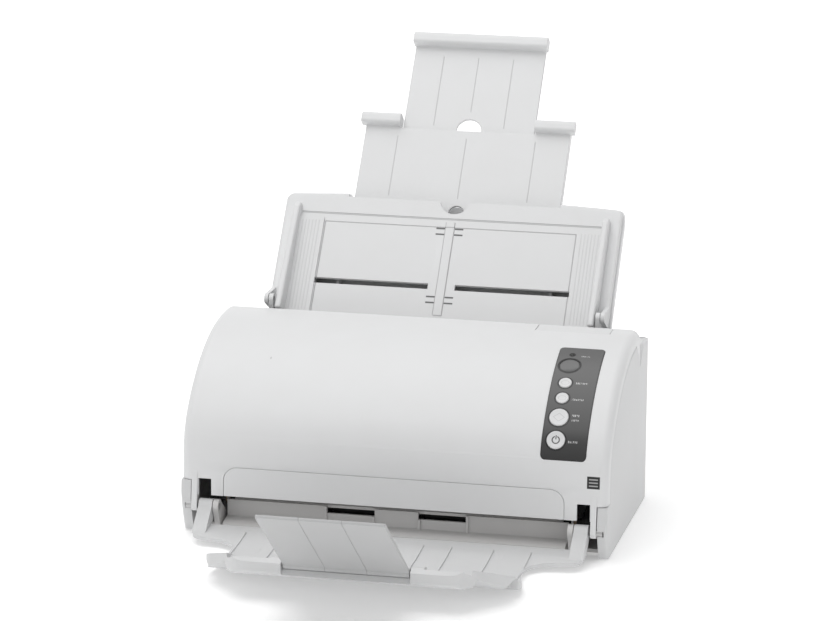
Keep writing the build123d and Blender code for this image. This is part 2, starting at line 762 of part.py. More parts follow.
def make_front_cover():
    heel_y, heel_z = cover_heel
    with BuildPart() as cover:
        with BuildSketch(side_view(-body_half)):
            with BuildLine():
                low, top = cover_curve(0, cover_low_z, cover_rear_y)
                corner = (heel_y + cover_heel_rise[0], heel_z + cover_heel_rise[1] - seam)
                Polyline(top, (heel_y, heel_z), corner,
                         *cover_inside, (cover_front_y + cover_band, cover_low_z), low)
            make_face()
        extrude(amount=2 * body_half)
        ends = cover.faces().filter_by(Axis.X)
        rims = [e for face in ends for e in face.edges()
                if e.center().Z > cover_low_z + 4 and is_outline(e)]
        fillet(rims, cover_edge)
        with BuildSketch(side_view(-body_half + skin)):
            with BuildLine():
                low, top = cover_curve(skin, cover_low_z - 5, cover_rear_y + 40)
                Polyline(top, (90, 20), low)
            make_face()
        extrude(amount=2 * (body_half - skin), mode=Mode.SUBTRACT)
        with BuildSketch(side_view(-body_half - 1)):
            with BuildLine():
                low, top = cover_curve(cover_band, cover_side_low_z, cover_band_y)
                Polyline(top, (heel_y, heel_z), (heel_y, -10), (cover_front_y + cover_band, -10), low)
            make_face()
        extrude(amount=2 * body_half + 2, mode=Mode.SUBTRACT)
        with BuildSketch(Plane.XZ.offset(60)):
            for side in (-1, 1):
                with Locations((side * sum(notch_half) / 2, (notch_top_z + 10) / 2)):
                    Rectangle(notch_half[1] - notch_half[0], notch_top_z - 10)
                middle = (finger_half[1] + body_half + 1) / 2
                with Locations((side * middle, cover_side_low_z - leg_room / 2)):
                    Rectangle(body_half + 1 - finger_half[1], leg_room)
        extrude(amount=30, mode=Mode.SUBTRACT)
        with BuildSketch(panel_plane().offset(-12)):
            RectangleRounded(panel_x[1] - panel_x[0] + 2 * panel_play, panel_long() + 2 * panel_play,
                             panel_corner)
        extrude(amount=40, mode=Mode.SUBTRACT)
        for side in (-1, 1):
            low = min(side * finger_half[0], side * finger_half[1])
            with BuildSketch(side_view(low)):
                with Locations((front_axis_y, front_axis_z)):
                    Circle(finger_round)
                with BuildLine():
                    Polyline((front_axis_y - 1.1, 46), (front_axis_y - 3.6, front_axis_z + 1),
                             (front_axis_y + 3.7, front_axis_z), (front_axis_y + 3.7, 46), close=True)
                make_face()
                with Locations((front_axis_y, front_axis_z)):
                    Circle(front_pin, mode=Mode.SUBTRACT)
            extrude(amount=finger_half[1] - finger_half[0])
        with BuildSketch(Plane.XY.offset(100)):
            with Locations((sum(lever_x) / 2, (lever_y + cover_rear_y + 5) / 2)):
                Rectangle(lever_x[1] - lever_x[0] + 2 * stand_off, cover_rear_y + 5 - lever_y)
        extrude(amount=40, mode=Mode.SUBTRACT)
        with BuildSketch(side_view(lever_x[0] - stand_off - lever_pin_long)):
            with Locations((lever_y + stand_off + lever_round, lever_z)):
                Circle(lever_pin + running)
        extrude(amount=lever_x[1] - lever_x[0] + 2 * (stand_off + lever_pin_long), mode=Mode.SUBTRACT)
        with BuildSketch(Plane.XZ.offset(-cover_front_y)):
            with Locations((0, cover_low_z)):
                RectangleRounded(2 * lower_panel_half, 2 * (lower_panel_top_z - cover_low_z),
                                 lower_panel_corner)
        extrude(amount=-lower_panel_deep, mode=Mode.SUBTRACT)
    save(cover, "front_cover")


def is_outline(edge):
    """Whether an edge of the cover's end lies on its outline and not on its inner corner."""
    spot = edge.center()
    return edge.geom_type == GeomType.CIRCLE or spot.Z > 128 or spot.Y < cover_front_y + 1


def panel_plane():
    """Plane through the control panel's two ends, looking out of the cover."""
    y0, z0, _ = cover_station(panel_along[0])
    y1, z1, _ = cover_station(panel_along[1])
    rise = atan2(z1 - z0, y1 - y0)
    middle = (sum(panel_x) / 2, (y0 + y1) / 2, (z0 + z1) / 2)
    return Plane(origin=middle, x_dir=(1, 0, 0), z_dir=(0, -sin(rise), cos(rise)))


def panel_long():
    """Straight distance between the control panel's two ends."""
    y0, z0, _ = cover_station(panel_along[0])
    y1, z1, _ = cover_station(panel_along[1])
    return hypot(y1 - y0, z1 - z0)


def key_plane(along, height):
    """Plane of a key at a distance along the outline, height above the cover's surface."""
    y, z, heading = cover_station(along)
    out = (0, -sin(radians(heading)), cos(radians(heading)))
    return Plane(origin=(key_x, y, z), x_dir=(1, 0, 0), z_dir=out).offset(height)


def make_panel():
    with BuildPart() as panel:
        with BuildSketch(side_view(panel_x[0])):
            with BuildLine():
                low_a, top_a = cover_curve(-panel_proud, cover_low_z, cover_rear_y)
                low_b, top_b = cover_curve(skin, cover_low_z, cover_rear_y)
                Line(low_a, low_b)
                Line(top_a, top_b)
            make_face()
        extrude(amount=panel_x[1] - panel_x[0])
        with BuildSketch(panel_plane().offset(-12)):
            RectangleRounded(panel_x[1] - panel_x[0], panel_long(), panel_corner)
        extrude(amount=40, mode=Mode.INTERSECT)
        for along, radius in (lamp, window):
            with BuildSketch(key_plane(along, -8)):
                Circle(radius)
            extrude(amount=16, mode=Mode.SUBTRACT)
        for along, radius in (function_key, send_key, scan_key, power_key):
            with BuildSketch(key_plane(along, -8)):
                Circle(radius + key_gap)
            extrude(amount=16, mode=Mode.SUBTRACT)
    save(panel, "control_panel")


def make_keys():
    for name, (along, radius) in (("function_button", function_key), ("send_button", send_key),
                                  ("scan_button", scan_key), ("power_button", power_key)):
        with BuildPart() as key:
            with BuildSketch(key_plane(along, -skin)):
                Circle(radius)
            extrude(amount=skin + key_proud)
            rounds = key.edges().filter_by(GeomType.CIRCLE)
            fillet(rounds.sort_by_distance(key_plane(along, 10).origin)[0], key_round)
            with BuildSketch(key_plane(along, -skin - key_stem_long)):
                Circle(key_stem)
            extrude(amount=key_stem_long + 0.1)
        save(key, name)
    with BuildPart() as lens:
        with BuildSketch(key_plane(window[0], -skin)):
            Circle(window[1])
        extrude(amount=skin + lens_proud)
    save(lens, "display_window")
    with BuildPart() as light:
        with BuildSketch(key_plane(lamp[0], -skin)):
            Circle(lamp[1])
        extrude(amount=skin + lamp_proud)
    save(light, "check_lamp")
    with BuildPart() as board:
        with BuildSketch(panel_plane().offset(-panel_board_drop)):
            Rectangle(panel_x[1] - panel_x[0], panel_long() - 16)
        extrude(amount=-1.6)
    save(board, "panel_board")


def make_lower_panel():
    rise = lower_panel_top_z - cover_low_z
    with BuildPart() as panel:
        with BuildSketch(Plane.XZ.offset(-cover_front_y)):
            with Locations((0, cover_low_z)):
                RectangleRounded(2 * (lower_panel_half - lower_panel_gap), 2 * (rise - lower_panel_gap),
                                 lower_panel_corner - lower_panel_gap)
            with Locations((0, cover_low_z - rise / 2)):
                Rectangle(3 * lower_panel_half, rise, mode=Mode.SUBTRACT)
        extrude(amount=-lower_panel_deep)
    save(panel, "lower_front_panel")


def make_lever():
    pin_y = lever_y + stand_off + lever_round
    with BuildPart() as lever:
        with BuildSketch(side_view(lever_x[0])):
            with BuildLine():
                Polyline((pin_y, lever_z + lever_round), (cover_rear_y - 0.2, 131.0),
                         (cover_rear_y + 0.6, 127.0), (pin_y, lever_z - lever_round), close=True)
            make_face()
            with Locations((pin_y, lever_z)):
                Circle(lever_round)
        extrude(amount=lever_x[1] - lever_x[0])
        reach = stand_off + lever_pin_long - 0.5
        with BuildSketch(side_view(lever_x[0] - reach)):
            with Locations((pin_y, lever_z)):
                Circle(lever_pin)
        extrude(amount=lever_x[1] - lever_x[0] + 2 * reach)
    save(lever, "release_lever")


def make_inner_cover_guide():
    out_y = -62.0
    lip = (-73.5, 28.6)
    with BuildPart() as guide:
        with BuildSketch(side_view(-guide_half)):
            with BuildLine():
                a = (cover_rear_y - 3.4, 126.0)
                b = leaning(funnel_s, bed_h + path_gap)
                c = leaning(bend_s, bed_h + path_gap)
                Line(a, b)
                Line(b, c)
                low = JernArc(c, (-sin(lean), -cos(lean)), path_bend - path_gap, -(path_turn - 2.0))
                Polyline(low @ 1, (out_y - 3, 27), lip, (lip[0], lip[1] + guide_plate), (out_y - 1, 29.5))
                d = leaning(funnel_s, bed_h + path_gap + guide_plate)
                e = leaning(bend_s, bed_h + path_gap + guide_plate)
                high = JernArc(e, (-sin(lean), -cos(lean)), path_bend - path_gap - guide_plate,
                               -(path_turn - 3.5))
                Line((out_y - 1, 29.5), high @ 1)
                Line(e, d)
                Polyline(d, (cover_rear_y - 5.6, 126.0), a)
            make_face()
        extrude(amount=2 * guide_half)
        low_h = bed_h + path_gap - 1
        with BuildSketch(FACE.offset(low_h)):
            for s, radius, spans in ((pick_s, brake_round, pick_rubber), (feed_s, pinch_round, feed_rubber)):
                reach = sqrt(radius ** 2 - (radius - path_gap - guide_plate) ** 2) + 1.4
                for low, high in spans:
                    with Locations(((low + high) / 2, s)):
                        Rectangle(high - low + 3, 2 * reach)
            with Locations((0, glass_s)):
                Rectangle(2 * scan_half - 6, glass_wide + 0.4)
        extrude(amount=guide_plate + 2, mode=Mode.SUBTRACT)
    save(guide, "inner_cover_guide")


def make_pinch_rollers():
    spots = {"brake": (pick_s, brake_round, pick_rubber), "pinch": (feed_s, pinch_round, feed_rubber)}
    for name, (s, radius, spans) in spots.items():
        centre = leaning(s, bed_h + rise_out + roller_gap + radius)
        with BuildPart() as roller:
            with BuildSketch(side_view(-70)):
                with Locations(centre):
                    Circle(2.0)
            extrude(amount=140)
            for low, high in spans:
                with BuildSketch(side_view(low)):
                    with Locations(centre):
                        Circle(radius)
                extrude(amount=high - low)
        save(roller, f"{name}_roller")


def make_chute_shell():
    with BuildPart() as shell:
        for height, draft in ((shell_back_h, shell_draft), (shell_front_h, 0)):
            with BuildSketch(FACE.offset(height)):
                with BuildLine():
                    chute_outline(shell_half - draft, shell_low_s + draft, bed_corner_s - draft,
                                  bed_top_s - draft)
                make_face()
        loft()
        back = shell.edges().group_by(Axis((0, 0, 0), FACE.z_dir))[0]
        fillet(back, 2.4)
        with BuildSketch(FACE.offset(shell_back_h + skin)):
            with BuildLine():
                inset = skin + shell_draft
                chute_outline(shell_half - inset, shell_low_s + inset, bed_corner_s - inset,
                              bed_top_s - inset)
            make_face()
        extrude(amount=shell_front_h, mode=Mode.SUBTRACT)
        with BuildSketch(FACE.offset(shell_back_h + skin)):
            with Locations((0, bed_top_s)):
                Rectangle(2 * (ext1_half + extension_play), shell_mouth)
        extrude(amount=shell_front_h, mode=Mode.SUBTRACT)
        for side in (-1, 1):
            x = side * (ext1_half + extension_play + shell_rail / 2)
            with BuildSketch(FACE.offset(shell_back_h + skin)):
                with Locations((x, shell_rail_s)):
                    Rectangle(shell_rail, shell_rail_long)
            extrude(amount=shell_rail_high)
    save(shell, "chute_rear_shell")


def chute_outline(half, low, corner, top):
    """Chute seen square on: straight sides, rounded corners and a top edge with a slight crown."""
    Polyline((-half, corner - 4), (-half, low + 4), (-half + 4, low), (half - 4, low),
             (half, low + 4), (half, corner - 4))
    TangentArc((half, corner - 4), (half - 5, corner + 1.0), tangent=(0, 1))
    ThreePointArc((half - 5, corner + 1.0), (0, top), (-half + 5, corner + 1.0))
    TangentArc((-half, corner - 4), (-half + 5, corner + 1.0), tangent=(0, 1))


def make_chute_bed():
    with BuildPart() as bed:
        with BuildSketch(FACE.offset(shell_front_h + joint_line)):
            with BuildLine():
                chute_outline(bed_half, bed_low_s, bed_corner_s - 1, bed_top_s - 0.6)
            make_face()
        extrude(amount=bed_h - shell_front_h - joint_line)
        front = bed.edges().group_by(Axis((0, 0, 0), FACE.z_dir))[-1]
        fillet(front, 2.0)
        with BuildSketch(FACE.offset(0)):
            with Locations((0, bed_hollow_s)):
                Rectangle(2 * (bed_half - skin), bed_hollow_long)
        extrude(amount=bed_h - bed_plate, mode=Mode.SUBTRACT)
        with BuildSketch(FACE.offset(0)):
            with Locations((-sum(slot_half) / 2, slot_s), (sum(slot_half) / 2, slot_s)):
                Rectangle(slot_half[1] - slot_half[0], slot_wide)
            with Locations((bed_dish_x, bed_top_s - bed_dip + 1)):
                Circle(bed_dish)
            with Locations((0, bed_top_s)):
                Rectangle(2 * (ext1_half + 2 * extension_play), 2 * bed_dip)
        extrude(amount=60, mode=Mode.SUBTRACT)
        for side in (-1, 1):
            low = min(side * ear_half[0], side * ear_half[1])
            with BuildSketch(edge_view(low)):
                with Locations((chute_axis_s, chute_axis_h)):
                    Circle(ear_round)
                with BuildLine():
                    Polyline((bed_low_s + 3.4, 31), (153, 31), (147, bed_h + 4),
                             (chute_axis_s + ear_round * 0.94, chute_axis_h + ear_round * 0.3),
                             (chute_axis_s - ear_round * 0.97, chute_axis_h - 1.0),
                             (bed_low_s + 3.4, bed_h), close=True)
                make_face()
                with Locations((chute_axis_s, chute_axis_h)):
                    Circle(chute_pin + running, mode=Mode.SUBTRACT)
            extrude(amount=ear_half[1] - ear_half[0])
        with BuildSketch(FACE.offset(bed_h - 0.5)):
            with Locations((0, bed_strip_s)):
                Rectangle(bed_strip, bed_strip_long)
        extrude(amount=1.0)
        with BuildSketch(FACE.offset(rack_h[0])):
            with Locations((0, slot_s)):
                Circle(pinion_pin)
        extrude(amount=bed_h - rack_h[0] - 0.4)
    save(bed, "chute_bed")


def pinion_profile(play):
    """Spur pinion with involute flanks, as a closed outline about its centre."""
    pitch = pinion_module * pinion_teeth / 2
    base = pitch * cos(radians(20))
    outer = pitch + 0.85 * pinion_module
    root = pitch - 1.2 * pinion_module
    half_tooth = pi / 2 / pinion_teeth - play / 2 / pitch
    lead = tan(radians(20)) - radians(20)
    points = []
    for tooth in range(pinion_teeth):
        middle = 2 * pi * tooth / pinion_teeth
        flank = []
        for k in range(5):
            r = max(base, root) + (outer - max(base, root)) * k / 4
            roll = sqrt(max((r / base) ** 2 - 1, 0))
            flank.append((r, half_tooth + lead - (roll - atan2(roll, 1))))
        points.append((root, middle - flank[0][1]))
        points += [(r, middle - a) for r, a in flank]
        points += [(r, middle + a) for r, a in reversed(flank)]
        points.append((root, middle + flank[0][1]))
    return [(r * cos(a), r * sin(a)) for r, a in points]


def make_pinion():
    with BuildPart() as pinion:
        foot = leaning(slot_s, rack_h[0] + 0.2)
        with BuildSketch(Plane(origin=(0, *foot), x_dir=(1, 0, 0), z_dir=FACE.z_dir)):
            with BuildLine():
                Polyline(*pinion_profile(backlash), close=True)
            make_face()
            Circle(pinion_pin + running, mode=Mode.SUBTRACT)
        extrude(amount=rack_h[1] - rack_h[0] - 0.4)
    save(pinion, "guide_pinion")


def rack_comb(first, last, line, up):
    """Outline of a rack's teeth between two places along X, standing towards the pinion."""
    pitch = pi * pinion_module
    half = pitch / 4 - 0.15
    slope = tan(radians(20))
    tip = 0.85 * pinion_module
    root = 1.15 * pinion_module
    points = [(first, line - up * (root + 0.5))]
    for k in range(int(first // pitch) - 1, int(last // pitch) + 2):
        x = (k + 0.5) * pitch
        if first + pitch / 2 < x < last - pitch / 2:
            points += [(x - half - root * slope, line - up * root), (x - half + tip * slope, line + up * tip),
                       (x + half - tip * slope, line + up * tip), (x + half + root * slope, line - up * root)]
    return [points[0], (first, line - up * root)] + points[1:] + [(last, line - up * root),
                                                               (last, line - up * (root + 0.5))]


def make_guide(side, name):
    """A side guide: foot and wall above the bed, neck through the slot, rack below it."""
    pitch_radius = pinion_module * pinion_teeth / 2
    up = side
    line = slot_s - up * pitch_radius
    back = line - up * 1.15 * pinion_module
    low_x = -4.0
    with BuildPart() as guide:
        wall_low = min(side * guide_in, side * (guide_in + guide_thick))
        with BuildSketch(edge_view(wall_low)):
            with BuildLine():
                Polyline((guide_low_s, bed_h + 0.2), (guide_low_s, guide_low_h),
                         (guide_low_s + 4, guide_low_h), (guide_top_s - 5, guide_top_h),
                         (guide_top_s, guide_top_h - 4), (guide_top_s, bed_h + 0.2), close=True)
            make_face()
        extrude(amount=guide_thick)
        above = Axis((0, *leaning(0, bed_h + 1.0)), FACE.z_dir)
        fillet(guide.edges().filter_by_position(above, 0, 60), guide_round)
        with BuildSketch(FACE.offset(bed_h + 0.2)):
            with Locations((side * (sum(guide_foot) / 2 + 0.5), sum(guide_foot_s) / 2)):
                Rectangle(guide_foot[1] - guide_foot[0] + 1.0, guide_foot_s[1] - guide_foot_s[0])
        extrude(amount=guide_foot_high)
        with BuildSketch(FACE.offset(rack_h[0])):
            with Locations((side * sum(neck_half) / 2, slot_s)):
                Rectangle(neck_half[1] - neck_half[0], slot_wide - 0.8)
        extrude(amount=bed_h + 0.4 - rack_h[0])
        with BuildSketch(FACE.offset(rack_h[0])):
            ends = (min(side * low_x, side * rack_reach), max(side * low_x, side * rack_reach))
            with Locations((sum(ends) / 2, back - up * rack_deep / 2)):
                Rectangle(ends[1] - ends[0], rack_deep)
            near = slot_s + neck_play * up
            far = back - up * rack_deep
            with Locations((side * (neck_half[0] + rack_reach) / 2, (near + far) / 2)):
                Rectangle(rack_reach - neck_half[0], abs(near - far))
            with BuildLine():
                Polyline(*rack_comb(ends[0], ends[1], line, up), close=True)
            make_face()
        extrude(amount=rack_h[1] - rack_h[0])
    save(guide, name)


def make_extensions():
    with BuildPart() as one:
        with BuildSketch(FACE.offset(ext1_front_h - ext1_plate)):
            with Locations((0, (ext1_low_s + ext1_top_s) / 2)):
                Rectangle(2 * ext1_half, ext1_top_s - ext1_low_s)
        extrude(amount=ext1_plate)
        for side in (-1, 1):
            with BuildSketch(FACE.offset(ext1_front_h - ext1_plate - ext1_rail_deep)):
                with Locations((side * (ext1_half - ext1_rail / 2), (ext1_low_s + ext1_top_s) / 2)):
                    Rectangle(ext1_rail, ext1_top_s - ext1_low_s)
                with Locations((side * (ext2_half + 0.5 + ext1_rail / 2), (ext1_low_s + ext1_top_s) / 2)):
                    Rectangle(ext1_rail, ext1_top_s - ext1_low_s)
            extrude(amount=ext1_rail_deep)
            lip_low = ext2_half + 1.0
            with BuildSketch(edge_view(min(side * lip_low, side * ext1_lip_half))):
                with BuildLine():
                    lip_outline(ext1_top_s, ext1_lip, ext1_front_h - ext1_plate, ext1_lip_h)
                make_face()
            extrude(amount=ext1_lip_half - lip_low)
        with BuildSketch(FACE.offset(0)):
            with Locations(ext1_hole[:2]):
                Circle(ext1_hole[2])
            with Locations((0, ext1_top_s)):
                Rectangle(2 * (ext2_half + extension_play), 2 * ext1_middle_drop)
        extrude(amount=60, mode=Mode.SUBTRACT)
    save(one, "extension_1")
    with BuildPart() as two:
        with BuildSketch(FACE.offset(ext2_front_h - ext1_plate)):
            with Locations((0, (ext2_low_s + ext2_top_s) / 2)):
                Rectangle(2 * ext2_half, ext2_top_s - ext2_low_s)
        extrude(amount=ext1_plate)
        with BuildSketch(edge_view(-ext2_lip_half)):
            with BuildLine():
                lip_outline(ext2_top_s, ext2_lip, ext2_front_h - ext1_plate, ext2_lip_h)
            make_face()
        extrude(amount=2 * ext2_lip_half)
        with BuildSketch(FACE.offset(0)):
            with Locations((0, ext2_hole_s)):
                Circle(ext2_hole)
        extrude(amount=60, mode=Mode.SUBTRACT)
    save(two, "extension_2")


def lip_outline(top, long, back, front):
    """A rolled lip seen from the side: a rounded bar that hooks forwards."""
    Line((top - long, back), (top - long, front - 2.0))
    TangentArc((top - long, front - 2.0), (top - long + 2.0, front), tangent=(0, 1))
    Line((top - long + 2.0, front), (top - 3.6, front))
    TangentArc((top - 3.6, front), (top, front - 3.6), tangent=(1, 0))
    Polyline((top, front - 3.6), (top, back), (top - long, back))


def tray_surface(drop):
    """Stacker tray seen from the side, its upper surface lowered by drop."""
    return tuple((y, z - drop) for y, z in tray_profile)


def tray_plan():
    """Lines of the stacker tray seen from above: arms, waist and a front with swept-back corners."""
    corner_y, corner_x = tray_corner
    for side in (-1, 1):
        Polyline((0, tray_rear_y), (side * tray_wide_half, tray_rear_y), (side * tray_wide_half, arm_front_y))
        Spline((side * tray_wide_half, arm_front_y), *((side * x, y) for x, y in tray_side),
               (side * tray_half, corner_y))
        Spline((side * tray_half, corner_y), *((side * x, y) for x, y in tray_sweep),
               (side * corner_x, tray_front_y), tangents=((0, -1), (-side, 0)))
        Line((side * corner_x, tray_front_y), (0, tray_front_y))


def make_stacker():
    with BuildPart() as tray:
        with BuildSketch(side_view(-tray_wide_half)):
            with BuildLine():
                Spline(*tray_surface(tray_plate))
                Polyline(tray_surface(tray_plate)[-1], *rim_under, *rim_over, *tray_surface(0)[3::-1],
                         tray_surface(tray_plate)[0])
            make_face()
        extrude(amount=2 * tray_wide_half)
        with BuildSketch(Plane.XY.offset(-5)):
            with BuildLine():
                tray_plan()
            make_face()
        extrude(amount=80, mode=Mode.INTERSECT)
        for side in (-1, 1):
            with BuildSketch(Plane.XZ.offset(-tray_flare_y)):
                with BuildLine():
                    slope = [(side * x, z) for x, z in tray_flare]
                    Polyline(*slope, (slope[1][0], 0), (slope[0][0], 0), close=True)
                make_face()
            extrude(amount=tray_flare_y - tray_front_y + 1, mode=Mode.SUBTRACT)
        with BuildSketch(side_view(-horn_half)):
            with BuildLine():
                Spline(*tray_surface(0))
                Polyline(tray_surface(0)[-1], (tray_profile[-1][0], 60), (tray_profile[0][0], 60),
                         tray_surface(0)[0])
            make_face()
        extrude(amount=2 * horn_half, mode=Mode.SUBTRACT)
        for side in (-1, 1):
            with BuildSketch(side_view(min(side * tray_lip_from, side * horn_half))):
                with BuildLine():
                    Polyline(*tray_lip, (tray_lip[0][0], tray_lip[-1][1]), tray_lip[0])
                make_face()
            extrude(amount=horn_half - tray_lip_from, mode=Mode.SUBTRACT)
        for x in tray_ribs:
            for side in (-1, 1):
                with BuildSketch(side_view(side * x - tray_rib / 2)):
                    with BuildLine():
                        Spline(*tray_surface(-tray_rib_high)[1:6])
                        Spline(*tray_surface(1.0)[1:6])
                        Line(tray_surface(-tray_rib_high)[1], tray_surface(1.0)[1])
                        Line(tray_surface(-tray_rib_high)[5], tray_surface(1.0)[5])
                    make_face()
                extrude(amount=tray_rib)
        for side in (-1, 1):
            low = min(side * arm_half[0], side * arm_half[1])
            with BuildSketch(side_view(low)):
                with Locations((front_axis_y, front_axis_z)):
                    Circle(arm_round)
                with BuildLine():
                    Polyline((front_axis_y - 4.9, front_axis_z + 1), (front_axis_y + 4.6, front_axis_z + 1.9),
                             (front_axis_y + 3.8, front_axis_z - 4), *arm_foot, close=True)
                make_face()
                with Locations((front_axis_y, front_axis_z)):
                    Circle(front_pin + running, mode=Mode.SUBTRACT)
            extrude(amount=arm_half[1] - arm_half[0])
        with BuildSketch(side_view(-flap_half - 1.0)):
            with Locations((flap_axis_y, flap_axis_z)):
                Circle(flap_knuckle + 0.5)
                with Locations(Location((0, 0, 0), (0, 0, 180 - degrees(flap_rise + flap_fold)))):
                    with Locations((flap_long / 2, 4)):
                        Rectangle(flap_long + 4, flap_plate + 1.2 + 8)
                with Locations(Location((0, 0, 0), (0, 0, 180 - degrees(flap_rise)))):
                    with Locations((flap_long / 2, 3)):
                        Rectangle(flap_long + 4, flap_plate + 1.2 + 6)
        extrude(amount=2 * flap_half + 2, mode=Mode.SUBTRACT)
        with BuildSketch(side_view(-flap_half - 8)):
            with Locations((flap_axis_y, flap_axis_z)):
                Circle(flap_pin_round)
        extrude(amount=2 * flap_half + 16, mode=Mode.SUBTRACT)
    save(tray, "stacker_tray")


def make_flap():
    with BuildPart() as flap:
        with BuildSketch(side_view(-flap_half)):
            with Locations((flap_axis_y, flap_axis_z)):
                Circle(flap_knuckle)
                with Locations(Location((0, 0, 0), (0, 0, 180 - degrees(flap_rise)))):
                    with Locations((flap_long / 2, 0)):
                        Rectangle(flap_long, flap_plate)
        extrude(amount=2 * flap_half)
        far = -flap_axis_y + 0.6 * flap_long * cos(flap_rise)
        fillet(flap.edges().filter_by_position(Axis.Y, -2 * far, -far), flap_plate * 0.42)
        with BuildSketch(side_view(-flap_half)):
            with Locations((flap_axis_y, flap_axis_z)):
                Circle(flap_pin_round + running)
        extrude(amount=2 * flap_half, mode=Mode.SUBTRACT)
    save(flap, "stacker_flap")
    with BuildPart() as pin:
        with BuildSketch(side_view(-flap_half - 8)):
            with Locations((flap_axis_y, flap_axis_z)):
                Circle(flap_pin_round)
        extrude(amount=2 * flap_half + 16)
    save(pin, "flap_pin")


def make_pins():
    axis = leaning(chute_axis_s, chute_axis_h)
    with BuildPart() as chute_pins:
        for side in (-1, 1):
            with BuildSketch(side_view(min(side * lug_half[0], side * ear_half[1]))):
                with Locations(axis):
                    Circle(chute_pin)
            extrude(amount=ear_half[1] - lug_half[0])
    save(chute_pins, "chute_hinge_pins")
    with BuildPart() as stacker_pins:
        for side in (-1, 1):
            with BuildSketch(side_view(min(side * post_half[0], side * stacker_pin_end))):
                with Locations((front_axis_y, front_axis_z)):
                    Circle(front_pin)
            extrude(amount=stacker_pin_end - post_half[0])
    save(stacker_pins, "stacker_pins")
    with BuildPart() as cover_pins:
        for side in (-1, 1):
            with BuildSketch(side_view(min(side * finger_half[0], side * cover_pin_end))):
                with Locations((front_axis_y, front_axis_z)):
                    Circle(front_pin)
            extrude(amount=cover_pin_end - finger_half[0])
    save(cover_pins, "cover_hinge_pins")


def main():
    os.makedirs("parts", exist_ok=True)
    steps = (make_base_tray, make_rear_cover, make_board_parts, make_paper_guide, make_frame_plates,
             make_drive, make_feet_and_screws, make_front_cover, make_panel, make_keys,
             make_lower_panel, make_lever, make_inner_cover_guide, make_pinch_rollers,
             make_chute_shell, make_chute_bed, make_pinion, make_extensions, make_stacker,
             make_flap, make_pins)
    make_side_cover(-1, "left_side_cover")
    make_side_cover(1, "right_side_cover")
    make_scan_unit("rear_scan_unit", "rear_scan_glass", -1)
    make_scan_unit("front_scan_unit", "front_scan_glass", 1)
    make_guide(-1, "left_guide")
    make_guide(1, "right_guide")
    for step in steps:
        step()


main()
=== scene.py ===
"""Looks of a desktop sheet fed document scanner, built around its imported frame.

Metres, +X to the right seen from the front, +Y to the rear, +Z up, origin on the desk.
"""
import json
import math

import bmesh
import bpy
import numpy as np
from mathutils import Matrix, Vector


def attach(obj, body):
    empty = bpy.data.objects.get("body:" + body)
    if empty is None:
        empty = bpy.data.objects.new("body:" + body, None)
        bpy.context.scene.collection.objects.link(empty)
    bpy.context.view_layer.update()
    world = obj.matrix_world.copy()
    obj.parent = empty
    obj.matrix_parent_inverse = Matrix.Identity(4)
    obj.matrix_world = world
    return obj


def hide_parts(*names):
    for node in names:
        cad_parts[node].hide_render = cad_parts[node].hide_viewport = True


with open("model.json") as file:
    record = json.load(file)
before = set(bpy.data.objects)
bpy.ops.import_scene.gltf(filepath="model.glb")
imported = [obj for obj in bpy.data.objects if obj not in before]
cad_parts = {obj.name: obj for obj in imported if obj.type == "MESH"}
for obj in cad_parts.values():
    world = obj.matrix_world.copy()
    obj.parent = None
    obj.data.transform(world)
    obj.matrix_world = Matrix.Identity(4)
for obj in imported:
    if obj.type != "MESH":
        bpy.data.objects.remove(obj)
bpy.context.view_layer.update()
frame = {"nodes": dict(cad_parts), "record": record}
scene = bpy.context.scene

LEAN = math.radians(38.5)            # the chute leans back from upright
COVER_FRONT = -0.0793                # the cover's front face
COVER_LOW = 0.028
COVER_BEND = 0.054                   # height where the cover starts to curve back
COVER_BENDS = ((0.0504, 40.0), (0.1255, 25.6), (0.1232, 24.4))
KEY_X = 0.1092
KEYS = {"function_button": (0.0986, 0.0044), "send_button": (0.0855, 0.0044),
        "scan_button": (0.0703, 0.0065), "power_button": (0.0538, 0.0062)}
WINDOW = (0.1156, 0.0071)            # distance along the outline, radius
LAMP = (0.1275, 0.0012)
PANEL_RIMS = ((0.0990, 0.1001), (0.1298, 0.1310))
PANEL_REFLECTION_SPAN = (0.070, 0.130)          # heights between which a painted reflection turns the film paler
LEGENDS = ((0.1262, 0.1156, 0.1216, 0.0013), (0.0988, 0.1161, 0.1243, 0.0015),
           (0.0848, 0.1158, 0.1236, 0.0015), (0.0722, 0.1178, 0.1226, 0.0016),
           (0.0686, 0.1178, 0.1226, 0.0014), (0.0530, 0.1172, 0.1236, 0.0015))   # along, ends, height
LEGEND_PITCH = 0.00112
LABEL = (0.1362, 0.0548)             # middle of the square label, across and up
LABEL_HALF = (0.0043, 0.0042)
LABEL_FRONT = -0.0770                # the label lies on what is further forward than this
LABEL_BAR = 0.0007
LABEL_BAR_GAP = 0.0022
LABEL_BAR_HALF = 0.0030
DOT = (-0.0951, 0.1049)              # small dot, across and along the outline

FINE = 0.0004                        # width of a fine groove
BED_PLATE = (0.0900, 0.1330, 0.2040)   # the bed's plate: half width, low and top edge
BED_CREASE = (0.2105, 0.0012, 0.1080)  # crease above it: height, width, half length
BED_DASHES = (0.2030, 0.1985, 0.1500, 0.1455)
BED_DASH = (0.0036, 0.0096, 0.0009)  # inner and outer end, width
BED_STRIP = (0.0032, 0.1360, 0.2080)   # raised strip: half width, low and top end
BED_FACE = 0.0334                    # grooves lie on what is further out than this
FOOT_RIBS = (0.0930, 0.1075, 0.0024)   # inner and outer edge, pitch
FOOT_SPAN = (0.1340, 0.2040)
FLAP_GROOVE = 0.0138

